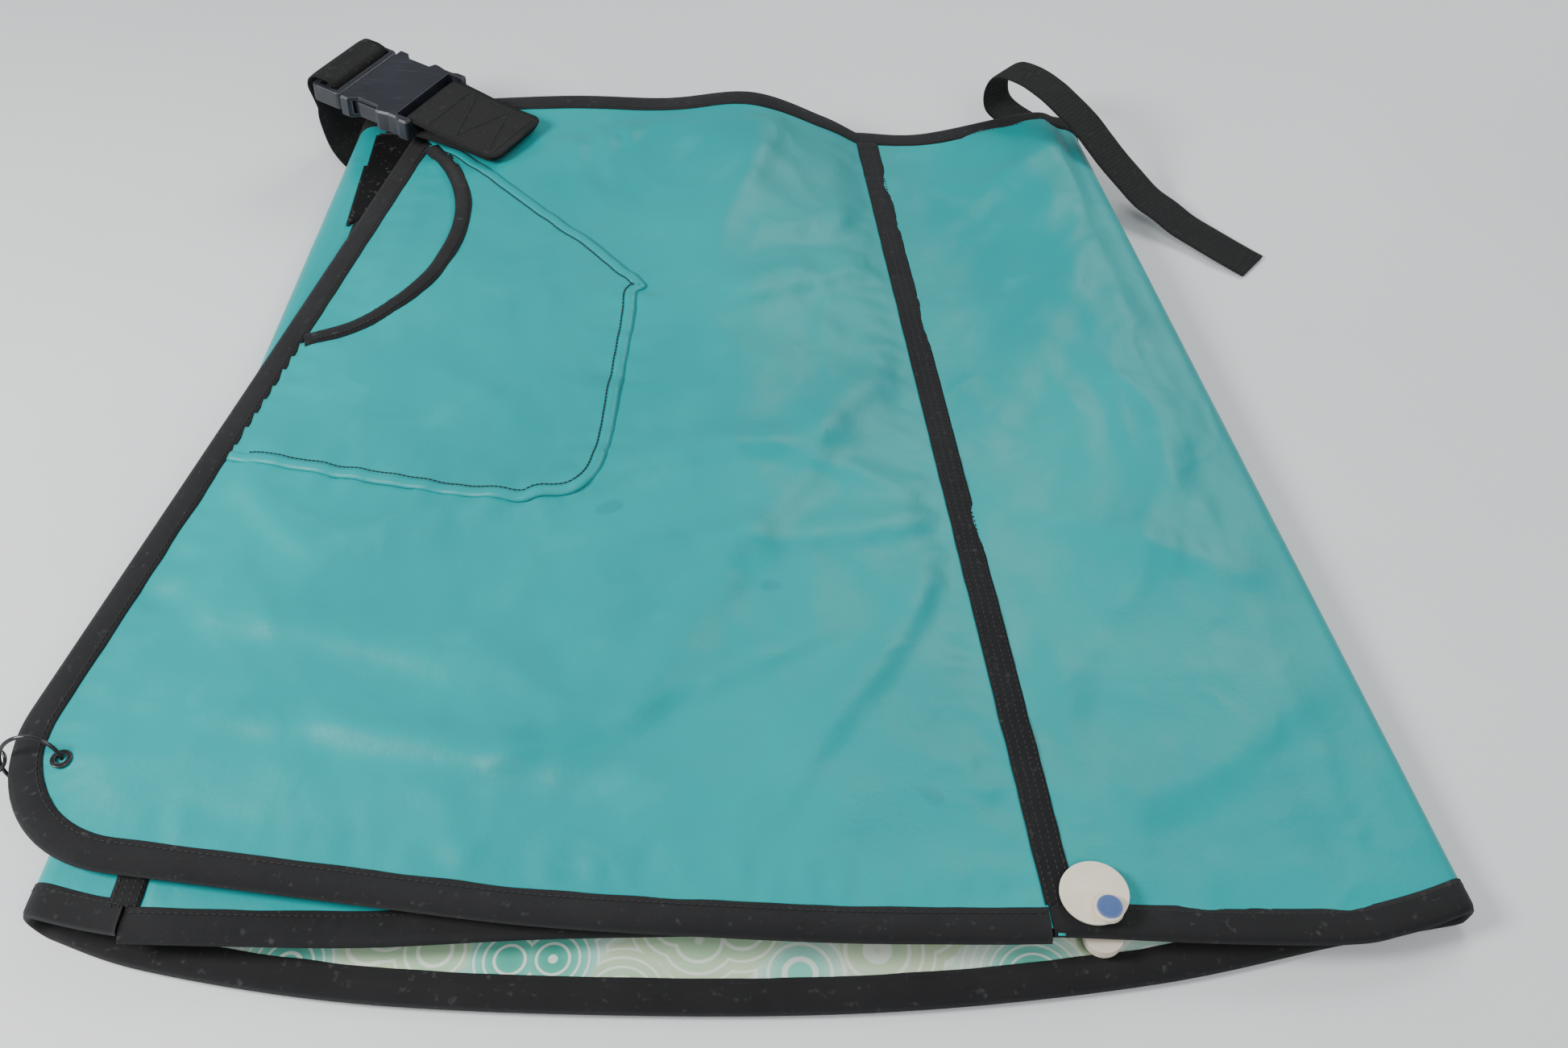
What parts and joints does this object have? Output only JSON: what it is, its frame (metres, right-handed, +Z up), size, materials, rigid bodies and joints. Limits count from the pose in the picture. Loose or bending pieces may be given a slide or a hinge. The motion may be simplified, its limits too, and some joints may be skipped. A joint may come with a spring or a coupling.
{
  "type": "lead apron",
  "caption": "Wrap-around lead apron skirt, closed at the waist by a side-release buckle, with a pocket, bound edges and a hem tag.",
  "frame": {"origin": "centre of the bounding box, at table height", "axes": "+X along the hem, from the free edge of the outer flap to the seam side; +Y from hem to waist; +Z up from the table"},
  "size_m": [0.634, 0.6214, 0.0675],
  "materials": {
    "teal_nylon": "satin nylon",
    "lead_vinyl": "matte",
    "printed_lining": "printed",
    "black_tape": "woven",
    "webbing": "woven",
    "elastic": "woven",
    "buckle_plastic": "worn",
    "ring_metal": "gloss black",
    "tag_ivory": "matte",
    "tag_blue": "matte"
  },
  "bodies": {
    "garment": {"back_hem_binding": "black_tape", "back_inner_lead_sheet": "lead_vinyl", "back_lining": "printed_lining", "back_outer_lead_sheet": "lead_vinyl", "back_shell": "teal_nylon", "back_waist_binding": "black_tape", "buckle_socket": "buckle_plastic", "buckle_tab": "webbing", "corner_eyelet": "ring_metal", "hip_belt": "elastic", "left_seam_band": "black_tape", "outer_flap_edge_binding": "black_tape", "outer_flap_inner_lead_sheet": "lead_vinyl", "outer_flap_lining": "printed_lining", "outer_flap_outer_lead_sheet": "lead_vinyl", "outer_flap_shell": "teal_nylon", "outer_flap_waist_binding": "black_tape", "pocket_mouth_binding": "black_tape", "pocket_patch": "teal_nylon", "right_seam_band": "black_tape", "tag_back": "tag_ivory", "tag_pin": "tag_ivory", "tag_pin_cap": "tag_blue", "under_flap_edge_binding": "black_tape", "under_flap_inner_lead_sheet": "lead_vinyl", "under_flap_lining": "printed_lining", "under_flap_outer_lead_sheet": "lead_vinyl", "under_flap_shell": "teal_nylon", "under_flap_waist_binding": "black_tape", "waist_strap": "webbing"},
    "buckle_latch": {"latch_frame": "buckle_plastic", "hip_belt_loop": "elastic"},
    "latch_arm_left": {"latch_arm_a": "buckle_plastic"},
    "latch_arm_right": {"latch_arm_b": "buckle_plastic"},
    "tag_disc": {"tag_disc": "tag_ivory"},
    "corner_ring": {"corner_ring": "ring_metal"},
    "link_ring": {"link_ring": "ring_metal"}
  },
  "joints": [
    {"name": "buckle_release", "type": "slide", "parent": "garment", "child": "buckle_latch", "axis": [-0.8725, 0.4836, 0.0698], "range_m": [0, 0.045]},
    {"name": "latch_arm_left_squeeze", "type": "hinge", "parent": "buckle_latch", "child": "latch_arm_left", "pos_m": [-0.24245, 0.25355, 0.05639], "axis": [0.061, -0.0338, 0.9976], "range_deg": [0, 6], "stiffness_Nm_per_rad": 0.5},
    {"name": "latch_arm_right_squeeze", "type": "hinge", "parent": "buckle_latch", "child": "latch_arm_right", "pos_m": [-0.21889, 0.29606, 0.05639], "axis": [-0.061, 0.0338, -0.9976], "range_deg": [0, 6], "stiffness_Nm_per_rad": 0.5},
    {"name": "tag_spin", "type": "hinge", "parent": "garment", "child": "tag_disc", "pos_m": [0.15575, -0.27662, 0.023], "axis": [0, 0, 1], "continuous": true},
    {"name": "corner_ring_swing", "type": "hinge", "parent": "garment", "child": "corner_ring", "pos_m": [-0.27925, -0.20862, 0.02634], "axis": [1, 0, 0], "range_deg": [0, 36]},
    {"name": "link_ring_swing", "type": "hinge", "parent": "corner_ring", "child": "link_ring", "pos_m": [-0.30625, -0.20862, 0.02634], "axis": [0, 1, 0], "range_deg": [-15, 15]}
  ]
}
